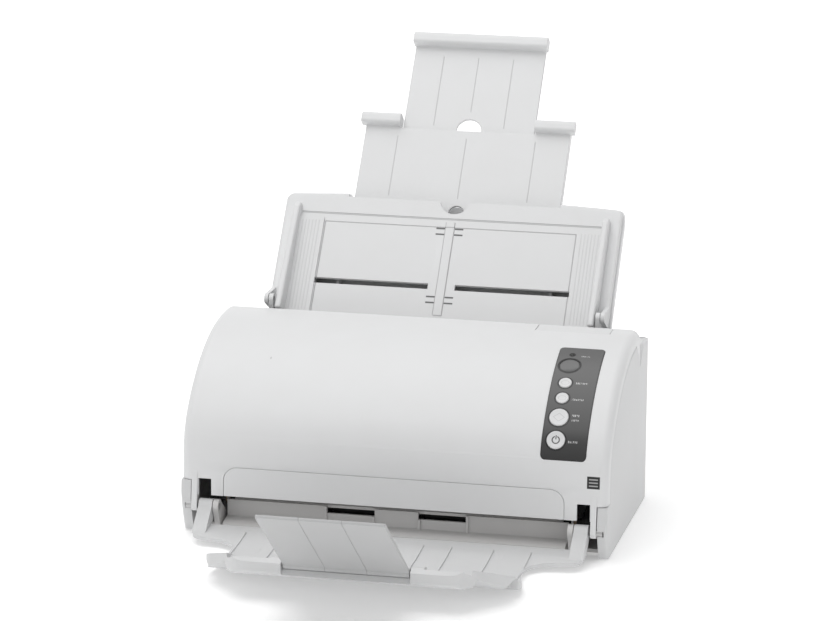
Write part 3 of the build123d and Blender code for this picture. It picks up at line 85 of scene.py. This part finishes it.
CAMERA_TARGET = (-0.0034, 0.0, 0.1448)
CAMERA_TURN, CAMERA_RISE, CAMERA_ROLL = 12.49, 13.88, 0.37   # degrees
CAMERA_REACH = 2.683
CAMERA_LENS = 171.3                  # millimetres, on a sensor this wide
SENSOR_WIDE = 36.0
ROOM_LIGHT = 0.52
TOP_LIGHT = 21.0
FRONT_LIGHT = 3.0


def station(along):
    """Depth, height and heading of the cover's outline at a distance along it from its low edge."""
    y, z, heading = COVER_FRONT, COVER_BEND, math.pi / 2
    left = along - (COVER_BEND - COVER_LOW)
    if left <= 0.0:
        return y, COVER_LOW + along, heading
    for radius, turn in COVER_BENDS:
        part = min(math.radians(turn), left / radius)
        after = heading - part
        y += radius * (math.sin(heading) - math.sin(after))
        z += radius * (math.cos(after) - math.cos(heading))
        heading = after
        left -= radius * part
        if left <= 0.0:
            break
    return y, z, heading


# ---------------------------------------------------------------- shader maths
class Field:
    """A shader socket; arithmetic on it adds Math nodes."""

    def __init__(self, shader, socket):
        self.shader = shader
        self.socket = socket

    def _math(self, operation, *others, clamp=False):
        node = self.shader.tree.nodes.new("ShaderNodeMath")
        node.operation = operation
        node.use_clamp = clamp
        for place, value in enumerate((self, *others)):
            self.shader.feed(node.inputs[place], value)
        return Field(self.shader, node.outputs[0])

    def __add__(self, other):
        return self._math("ADD", other)

    __radd__ = __add__

    def __mul__(self, other):
        return self._math("MULTIPLY", other)

    __rmul__ = __mul__

    def __sub__(self, other):
        return self._math("SUBTRACT", other)

    def __rsub__(self, other):
        return (self * -1.0) + other

    def __abs__(self):
        return self._math("ABSOLUTE")

    def __lt__(self, other):
        return self._math("LESS_THAN", other)

    def __gt__(self, other):
        return self._math("GREATER_THAN", other)

    def clamp(self):
        return self._math("ADD", 0.0, clamp=True)

    def at_most(self, top):
        return self._math("MINIMUM", top)

    def sin(self):
        return self._math("SINE")

    def sqrt(self):
        return self._math("SQRT")

    def step(self, start, end):
        """0 below start, 1 above end and straight between."""
        return ((self - start) * (1.0 / (end - start))).clamp()


class Shader:
    """A material's node tree with one way of adding nodes."""

    def __init__(self, name):
        self.material = bpy.data.materials.new(name)
        self.material.use_nodes = True
        self.tree = self.material.node_tree
        self.surface = self.tree.nodes["Principled BSDF"]
        self.place = self.node("ShaderNodeTexCoord", out="Object")

    def feed(self, socket, value):
        if isinstance(value, Field):
            self.tree.links.new(value.socket, socket)
        else:
            socket.default_value = value

    def node(self, kind, settings=(), out=0, **sockets):
        """Add a node: its settings first, then the values or links of its sockets."""
        node = self.tree.nodes.new(kind)
        for key, value in dict(settings).items():
            setattr(node, key, value)
        for key, value in sockets.items():
            self.feed(node.inputs[key.replace("_", " ")], value)
        return Field(self, node.outputs[out])

    def axes(self):
        """The place on the piece as three numbers, in metres."""
        node = self.tree.nodes.new("ShaderNodeSeparateXYZ")
        self.feed(node.inputs[0], self.place)
        return [Field(self, socket) for socket in node.outputs]

    def leaning(self):
        """The place in the chute's frame: across, up along the bed, out of the bed."""
        x, y, z = self.axes()
        along = y * math.sin(LEAN) + z * math.cos(LEAN)
        return x, along, z * math.sin(LEAN) - y * math.cos(LEAN)

    def on_cover(self, along, across=KEY_X):
        """The place on the cover near a point of its outline: to the right of it and up along it."""
        x, y, z = self.axes()
        at_y, at_z, heading = station(along)
        return x - across, (y - at_y) * math.cos(heading) + (z - at_z) * math.sin(heading)

    def noise(self, scale, detail=2.0, rough=0.5, stretch=None):
        where = self.place
        if stretch:
            where = self.node("ShaderNodeMapping", Vector=where, Scale=stretch)
        return self.node("ShaderNodeTexNoise", out="Fac", Vector=where, Scale=scale,
                         Detail=detail, Roughness=rough)

    def mix(self, factor, one, two):
        """Blend two colours."""
        node = self.tree.nodes.new("ShaderNodeMix")
        node.data_type = "RGBA"
        self.feed(node.inputs[0], factor)
        self.feed(node.inputs[6], one)
        self.feed(node.inputs[7], two)
        return Field(self, node.outputs[2])

    def bump(self, height, distance, strength=1.0, under=None):
        sockets = {"Height": height, "Distance": distance, "Strength": strength}
        if under is not None:
            sockets["Normal"] = under
        return self.node("ShaderNodeBump", **sockets)

    def finish(self, **sockets):
        for key, value in sockets.items():
            self.feed(self.surface.inputs[key.replace("_", " ")], value)
        return self.material


def inside(value, low, high, soft=0.00012):
    """1 where a value lies between low and high, with a soft edge."""
    return value.step(low - soft, low + soft) * (1.0 - value.step(high - soft, high + soft))


def line(value, wide, soft=0.00015):
    """1 along a line where the value is 0."""
    return 1.0 - abs(value).step(wide / 2, wide / 2 + soft)


def rgb(level, warm=0.0):
    """A grey as a display value from 0 to 1, with a little warmth, as linear colour."""
    def linear(v):
        return v / 12.92 if v <= 0.04045 else ((v + 0.055) / 1.055) ** 2.4
    return (linear(level + warm), linear(level), linear(level - warm), 1.0)


def moulded(name, level, warm=0.0, rough=0.48, grain=1.0, carve=None, paint=None):
    """Moulded plastic: spark-eroded grain, slight mottling, dull finger marks.

    carve gives the mask of its grooves, which also darkens their colour as painted shade, and paint
    changes its colour."""
    s = Shader(name)
    fine = s.noise(1900.0, 3.0, 0.6)
    coarse = s.noise(38.0, 3.0, 0.55)
    smudge = s.noise(11.0, 2.0, 0.5)
    tone = (coarse - 0.5) * 0.5 + 0.5
    colour = s.mix(tone.step(0.3, 0.75), rgb(level - 0.010, warm + 0.002), rgb(level + 0.004, warm))
    roughness = fine * 0.06 + smudge * 0.10 + (rough - 0.08)
    normal = s.bump(fine, 0.00003 * grain, 0.5)
    if carve:
        groove = carve(s)
        # painted shade: the real grooves are drawn darker, on top of their bump
        colour = s.mix(groove * 0.55, colour, rgb(level * 0.5, warm))
        normal = s.bump(1.0 - groove, 0.0006, 1.0, under=normal)
    if paint:
        colour = paint(s, colour)
    s.surface.inputs["Specular IOR Level"].default_value = 0.42
    return s.finish(Base_Color=colour, Roughness=roughness, Normal=normal)


def bed_grooves(s):
    """Lines of the chute's bed: its plate's edges, the crease above it and two pairs of dashes."""
    x, up, out = s.leaning()
    side = abs(x)
    half, low, top = BED_PLATE
    plate = line(up - top, FINE) * (side < half) * 0.7
    edges = line(side - half, FINE) * inside(up, low, top) * 0.6
    crease_up, crease_wide, crease_half = BED_CREASE
    crease = line(up - crease_up, crease_wide) * (side < crease_half) * 0.7
    inner, outer, wide = BED_DASH
    dashes = line(up - BED_DASHES[0], wide)
    for height in BED_DASHES[1:]:
        dashes = dashes + line(up - height, wide)
    dashes = dashes * inside(side, inner, outer) * 2.0
    strip_half, strip_low, strip_top = BED_STRIP
    strip = line(side - strip_half, 0.0003) * inside(up, strip_low, strip_top) * 0.5
    return ((plate + edges + crease + dashes + strip) * (out > BED_FACE)).at_most(2.0)


def extension_grooves(middle, gap, start, end, centre_start):
    """Three lines up an extension's front, the middle one from centre_start."""
    def carve(s):
        x, up, _ = s.leaning()
        outer = (line(x - middle - gap, FINE) + line(x - middle + gap, FINE)) * inside(up, start, end)
        return (outer + line(x - middle, FINE) * inside(up, centre_start, end)).clamp() * 0.35
    return carve


def foot_ribs(s):
    """Fine ribs along a side guide's foot."""
    x, up, _ = s.leaning()
    inner, outer, pitch = FOOT_RIBS
    wave = (abs(x) * (2 * math.pi / pitch)).sin()
    return wave.step(0.4, 0.95) * inside(abs(x), inner, outer) * inside(up, *FOOT_SPAN) * 0.2


def flap_grooves(s):
    """Two lines down the flap, a third in from each side."""
    x, _, _ = s.axes()
    return line(abs(x) - FLAP_GROOVE, FINE) * 0.4


def cover_marks(s, colour):
    """A plain dark square label with three even pale bars, low on the cover's right, and a small dot."""
    x, y, z = s.axes()
    across = x - LABEL[0]
    up = z - LABEL[1]
    half, tall = LABEL_HALF
    field = inside(across, -half, half) * inside(up, -tall, tall) * (y < LABEL_FRONT)
    bars = line(up, LABEL_BAR) + line(abs(up) - LABEL_BAR_GAP, LABEL_BAR)
    bars = bars * inside(across, -LABEL_BAR_HALF, LABEL_BAR_HALF)
    beside = x - DOT[0]
    above = z - station(DOT[1])[1]
    dot = 1.0 - (beside * beside + above * above).sqrt().step(0.0005, 0.0007)
    colour = s.mix(field, colour, rgb(0.16))
    colour = s.mix((bars * field).clamp() * 0.8, colour, rgb(0.75))
    return s.mix(dot * 0.4, colour, rgb(0.6))


def panel_paint(s, colour):
    """Dark film with a painted reflection that makes it paler towards the top, a dark rim, rings of
    painted shade round the recessed keys, window and lamp, and plain white legends.
    """
    x, _, z = s.axes()
    # painted reflection: the film is drawn paler towards the top
    colour = s.mix(z.step(*PANEL_REFLECTION_SPAN), rgb(0.19), rgb(0.40))
    rim = (inside(x, *PANEL_RIMS[0]) + inside(x, *PANEL_RIMS[1])).clamp()
    colour = s.mix(rim * 0.7, colour, rgb(0.16))
    # painted shade: a dark ring round each recessed key, the window and the lamp
    for along, radius in (*KEYS.values(), WINDOW, LAMP):
        across, up = s.on_cover(along)
        far = (across * across + up * up).sqrt()
        colour = s.mix(1.0 - far.step(radius + 0.0007, radius + 0.0013), colour, rgb(0.11))
    for along, first, last, tall in LEGENDS:
        across, up = s.on_cover(along, 0.0)
        strokes = (across * (2 * math.pi / LEGEND_PITCH)).sin().step(-0.55, -0.15)
        uneven = s.noise(1500.0, 0.0).step(0.40, 0.50)
        mark = strokes * uneven * inside(across, first, last) * inside(up, -tall / 2, tall / 2)
        colour = s.mix(mark * 0.8, colour, rgb(0.86))
    return colour


def key_symbol(node):
    """Colour of a key cap: a power sign on the power key, a faint outline on the others."""
    along = KEYS[node][0]

    def paint(s, colour):
        across, up = s.on_cover(along)
        far = (across * across + up * up).sqrt()
        if node == "power_button":
            gap = inside(across, -0.0008, 0.0008) * (up > 0.0)
            ring = line(far - 0.0024, 0.0006) * (1.0 - gap)
            bar = line(across, 0.0005) * inside(up, 0.0004, 0.0032)
            return s.mix((ring + bar).clamp(), colour, rgb(0.30))
        if node == "scan_button":
            diamond = line(abs(across) * 0.8 + abs(up) - 0.0030, 0.0004)
            return s.mix(diamond * 0.35, colour, rgb(0.55))
        oval = ((across * across) + up * up * 2.2).sqrt()
        return s.mix(line(oval - 0.0026, 0.0003) * 0.3, colour, rgb(0.55))
    return paint


def window_paint(s, colour):
    """Smoked lens, with painted shade making it darker at its edge."""
    across, up = s.on_cover(WINDOW[0])
    far = (across * across + up * up).sqrt()
    # painted shade: the lens turns darker towards its edge, under the rim of its recess
    return s.mix(far.step(0.0056, 0.0070), rgb(0.37), rgb(0.13))


def metal(name, level, rough=0.3, warm=0.0):
    """Plated steel with drawn streaks."""
    s = Shader(name)
    streak = s.noise(240.0, 4.0, 0.6, stretch=(1.0, 1.0, 14.0))
    colour = s.mix(streak, rgb(level - 0.05, warm), rgb(level + 0.04, warm))
    s.surface.inputs["Metallic"].default_value = 1.0
    return s.finish(Base_Color=colour, Roughness=streak * 0.2 + (rough - 0.1),
                    Normal=s.bump(streak, 0.00002, 0.4))


def soft_rubber(name, level, rough=0.75):
    """Ground rubber: dull, dark, with fine pits and paper dust."""
    s = Shader(name)
    pits = s.noise(2600.0, 4.0, 0.7)
    dust = s.noise(70.0, 4.0, 0.65).step(0.52, 0.8)
    colour = s.mix(dust * 0.35, rgb(level), rgb(level + 0.22))
    return s.finish(Base_Color=colour, Roughness=pits * 0.15 + (rough - 0.08),
                    Normal=s.bump(pits, 0.00006, 0.6))


finishes = {
    "casing_white": moulded("casing_white", 0.885, -0.003),
    "chute_grey": moulded("chute_grey", 0.885, -0.003, 0.5),
    "stacker_grey": moulded("stacker_grey", 0.845, -0.003, 0.5),
    "base_grey": moulded("base_grey", 0.82, 0.003, 0.55),
    "panel_dark": moulded("panel_dark", 0.33, 0.0, 0.34, 0.6, paint=panel_paint),
    "key_grey": moulded("key_grey", 0.87, -0.003, 0.35, 0.5),
    "window_dark": moulded("window_dark", 0.24, 0.0, 0.15, 0.1, paint=window_paint),
    "lamp_green": moulded("lamp_green", 0.12, 0.0, 0.2, 0.1),
    "sensor_black": moulded("sensor_black", 0.10, 0.0, 0.5),
    "steel": metal("steel", 0.72),
    "brass": metal("brass", 0.42, 0.35, 0.06),
    "board_green": moulded("board_green", 0.25, -0.02, 0.4),
    "socket_metal": metal("socket_metal", 0.75, 0.25),
    "socket_black": moulded("socket_black", 0.09, 0.0, 0.5),
    "motor_metal": metal("motor_metal", 0.5, 0.4),
    "belt_black": soft_rubber("belt_black", 0.09),
    "roller_rubber": soft_rubber("roller_rubber", 0.17),
    "shaft_black": moulded("shaft_black", 0.13, 0.0, 0.45),
    "gear_white": moulded("gear_white", 0.85, 0.01, 0.4),
    "foot_rubber": soft_rubber("foot_rubber", 0.12),
    "sensor_glass": moulded("sensor_glass", 0.16, -0.01, 0.08, 0.05),
}
own_finish = {
    "front_cover": moulded("cover_shell", 0.895, -0.003, paint=cover_marks),
    "chute_bed": moulded("bed_plastic", 0.885, -0.003, 0.5, carve=bed_grooves),
    "left_guide": moulded("guide_plastic", 0.885, -0.003, 0.5, carve=foot_ribs),
    "extension_1": moulded("extension_plastic", 0.885, -0.003, 0.5,
                           carve=extension_grooves(0.0, 0.050, 0.231, 0.279, 0.231)),
    "extension_2": moulded("end_plastic", 0.885, -0.003, 0.5,
                           carve=extension_grooves(-0.0005, 0.0255, 0.290, 0.346, 0.302)),
    # painted shade: the flap's plastic is drawn darker than the tray because its underside faces down,
    # away from the light
    "stacker_flap": moulded("flap_plastic_painted_shade", 0.75, -0.003, 0.5, carve=flap_grooves),
    # painted shade: the side covers' plastic is drawn darker than the casing's because their faces turn
    # sideways from the light
    "left_side_cover": moulded("side_plastic_painted_shade", 0.84, -0.003),
}
own_finish["right_guide"] = own_finish["left_guide"]
own_finish["right_side_cover"] = own_finish["left_side_cover"]


def dress_nodes():
    """Give every carried-over node its own finish, or that of its slot."""
    for row in frame["record"]["subparts"]:
        piece = frame["nodes"][row["node"]]
        piece.data.materials.clear()
        piece.data.materials.append(own_finish.get(row["node"], finishes[row["material_slot"]]))


SOFT_EDGES = {"stacker_tray": ("stacker", 0.0011), "front_cover": ("cover", 0.0006),
              "left_side_cover": ("base", 0.0007), "right_side_cover": ("base", 0.0007),
              "rear_cover": ("base", 0.0007), "base_tray": ("base", 0.0004),
              "chute_bed": ("chute", 0.0006), "chute_rear_shell": ("chute", 0.0006),
              "extension_1": ("extension_1", 0.0005), "extension_2": ("extension_2", 0.0005),
              "stacker_flap": ("stacker_flap", 0.0004), "lower_front_panel": ("cover", 0.0003)}


def soften_edges():
    """Put a copy with merged faces and rounded edges in the place of each outer moulding."""
    for node, (body, radius) in SOFT_EDGES.items():
        rough = frame["nodes"][node]
        mesh = rough.data.copy()
        piece = bpy.data.objects.new(node + "_moulding", mesh)
        scene.collection.objects.link(piece)
        shape = bmesh.new()
        shape.from_mesh(mesh)
        bmesh.ops.remove_doubles(shape, verts=shape.verts, dist=0.00001)
        bmesh.ops.dissolve_limit(shape, angle_limit=math.radians(1.0), verts=shape.verts,
                                 edges=shape.edges)
        shape.to_mesh(mesh)
        shape.free()
        rounded = piece.modifiers.new("rounded", "BEVEL")
        rounded.width = radius
        rounded.segments = 2
        rounded.limit_method = "ANGLE"
        rounded.angle_limit = math.radians(40.0)
        rounded.use_clamp_overlap = True
        mesh.shade_smooth()
        mesh.set_sharp_from_angle(angle=math.radians(35.0))
        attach(piece, body)
        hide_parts(node)


def lathe(name, along, profile, turns=64):
    """A round cap on the cover: a profile of (radius, height) turned about the cover's outward
    direction at a point of its outline; the height is counted from the cover's surface."""
    y, z, heading = station(along)
    angle = np.linspace(0.0, 2 * math.pi, turns, endpoint=False)
    radius, height = np.array(profile).T
    across = radius[:, None] * np.cos(angle)
    up = radius[:, None] * np.sin(angle)
    out = np.repeat(height[:, None], turns, 1)
    points = np.stack([KEY_X + across,
                       y + up * math.cos(heading) - out * math.sin(heading),
                       z + up * math.sin(heading) + out * math.cos(heading)], -1)
    cap = grid_piece(name, points.reshape(-1, 3), radius.shape + (turns,), closed=(False, True))
    return cap


def cap_profile(radius, top, deep, dish, edge):
    """Closed profile of a key cap from the middle of its underside to the middle of its dished top."""
    wall = [(0.0, -deep), (radius, -deep), (radius, top - edge)]
    bend = [(radius - edge + edge * math.cos(a), top - edge + edge * math.sin(a))
            for a in np.linspace(0.15, math.pi / 2, 7)]
    reach = radius - edge
    bowl = [(reach * k, top - dish * (1.0 - k * k)) for k in np.linspace(0.9, 0.0, 10)]
    return wall + bend + bowl


def make_caps():
    """Key caps with a dished top and a rounded edge, each on the stem of its CAD key."""
    for node, (along, radius) in KEYS.items():
        cap = lathe(node + "_cap", along, cap_profile(radius, 0.0009, 0.0048, 0.0004, 0.0007))
        cap.data.materials.append(moulded(node + "_plastic", 0.87, -0.003, 0.35, 0.5,
                                          paint=key_symbol(node)))
        cap.data.shade_smooth()
        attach(cap, node)
        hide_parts(node)
    lens = lathe("window_lens", WINDOW[0], cap_profile(WINDOW[1], -0.0001, 0.0023, 0.0003, 0.0003))
    lens.data.materials.append(finishes["window_dark"])
    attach(lens, "cover")
    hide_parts("display_window")
    dome = lathe("lamp_dome", LAMP[0], cap_profile(LAMP[1], 0.00045, 0.0023, -0.0002, 0.0003))
    dome.data.materials.append(finishes["lamp_green"])
    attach(dome, "cover")
    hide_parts("check_lamp")


def make_camera():
    """The three-quarter view from the front, slightly above."""
    turn = math.radians(CAMERA_TURN)
    rise = math.radians(CAMERA_RISE)
    roll = math.radians(CAMERA_ROLL)
    target = Vector(CAMERA_TARGET)
    ahead = Vector((-math.sin(turn) * math.cos(rise), math.cos(turn) * math.cos(rise), -math.sin(rise)))
    right = Vector((math.cos(turn), math.sin(turn), 0.0))
    up = right.cross(ahead)
    right, up = (math.cos(roll) * right + math.sin(roll) * up,
                 math.cos(roll) * up - math.sin(roll) * right)
    data = bpy.data.cameras.new("camera")
    data.lens = CAMERA_LENS
    data.sensor_width = SENSOR_WIDE
    data.clip_start = 0.1
    data.clip_end = 50.0
    camera = bpy.data.objects.new("camera", data)
    turned = Matrix((right, up, -ahead)).transposed()
    camera.matrix_world = Matrix.Translation(target - CAMERA_REACH * ahead) @ turned.to_4x4()
    scene.collection.objects.link(camera)
    scene.camera = camera


def soft_box(name, at, aim, size, power, tint=(1.0, 1.0, 1.0)):
    data = bpy.data.lights.new(name, "AREA")
    data.shape = "RECTANGLE"
    data.size, data.size_y = size
    data.energy = power
    data.color = tint
    lamp = bpy.data.objects.new(name, data)
    lamp.location = at
    lamp.rotation_euler = (Vector(aim) - Vector(at)).to_track_quat("-Z", "Y").to_euler()
    scene.collection.objects.link(lamp)


def make_stage():
    """A pale floor that runs up into a backdrop, and soft studio light."""
    across = np.linspace(-3.5, 3.5, 9)
    along = np.linspace(0.0, 1.0, 33)
    u, v = np.meshgrid(across, along)
    run = v * 6.0 - 2.5
    rise = np.where(run > 2.0, (1.0 - np.cos(np.clip((run - 2.0) / 1.5, 0, 1) * math.pi / 2)) * 1.6, 0.0)
    points = np.stack([u, run, rise], -1).reshape(-1, 3)
    floor = grid_piece("floor", points, u.shape)
    floor.data.materials.append(floor_paint())
    world = bpy.data.worlds.new("studio")
    world.use_nodes = True
    back = world.node_tree.nodes["Background"]
    back.inputs["Color"].default_value = (1.0, 1.0, 1.0, 1.0)
    back.inputs["Strength"].default_value = ROOM_LIGHT
    scene.world = world
    soft_box("top_light", (-0.3, -0.1, 1.9), (0.0, 0.0, 0.1), (2.2, 1.6), TOP_LIGHT)
    soft_box("front_light", (-0.9, -2.2, 1.1), (0.0, 0.0, 0.12), (1.6, 1.2), FRONT_LIGHT)


def floor_paint():
    """Matt white paper that glows a little more the further back it is."""
    s = Shader("floor_paint")
    _, y, _ = s.axes()
    cloud = s.noise(1.2, 2.0, 0.5)
    s.surface.inputs["Emission Strength"].default_value = 0.55
    return s.finish(Base_Color=s.mix(cloud, rgb(0.965), rgb(0.975)), Roughness=0.9,
                    Emission_Color=s.mix(y.step(-0.6, 1.2), rgb(0.50), rgb(1.0)))


def grid_piece(name, points, shape, closed=(False, False)):
    """Mesh of a grid of points, rows by columns, with quads between neighbours."""
    rows, columns = shape
    index = np.arange(rows * columns).reshape(rows, columns)
    if closed[0]:
        index = np.vstack([index, index[:1]])
    if closed[1]:
        index = np.hstack([index, index[:, :1]])
    faces = np.stack([index[:-1, :-1], index[:-1, 1:], index[1:, 1:], index[1:, :-1]], -1).reshape(-1, 4)
    mesh = bpy.data.meshes.new(name)
    mesh.from_pydata(points.tolist(), [], faces.tolist())
    mesh.update()
    piece = bpy.data.objects.new(name, mesh)
    scene.collection.objects.link(piece)
    return piece


dress_nodes()
soften_edges()
make_caps()
make_camera()
make_stage()
scene.view_settings.view_transform = "Standard"
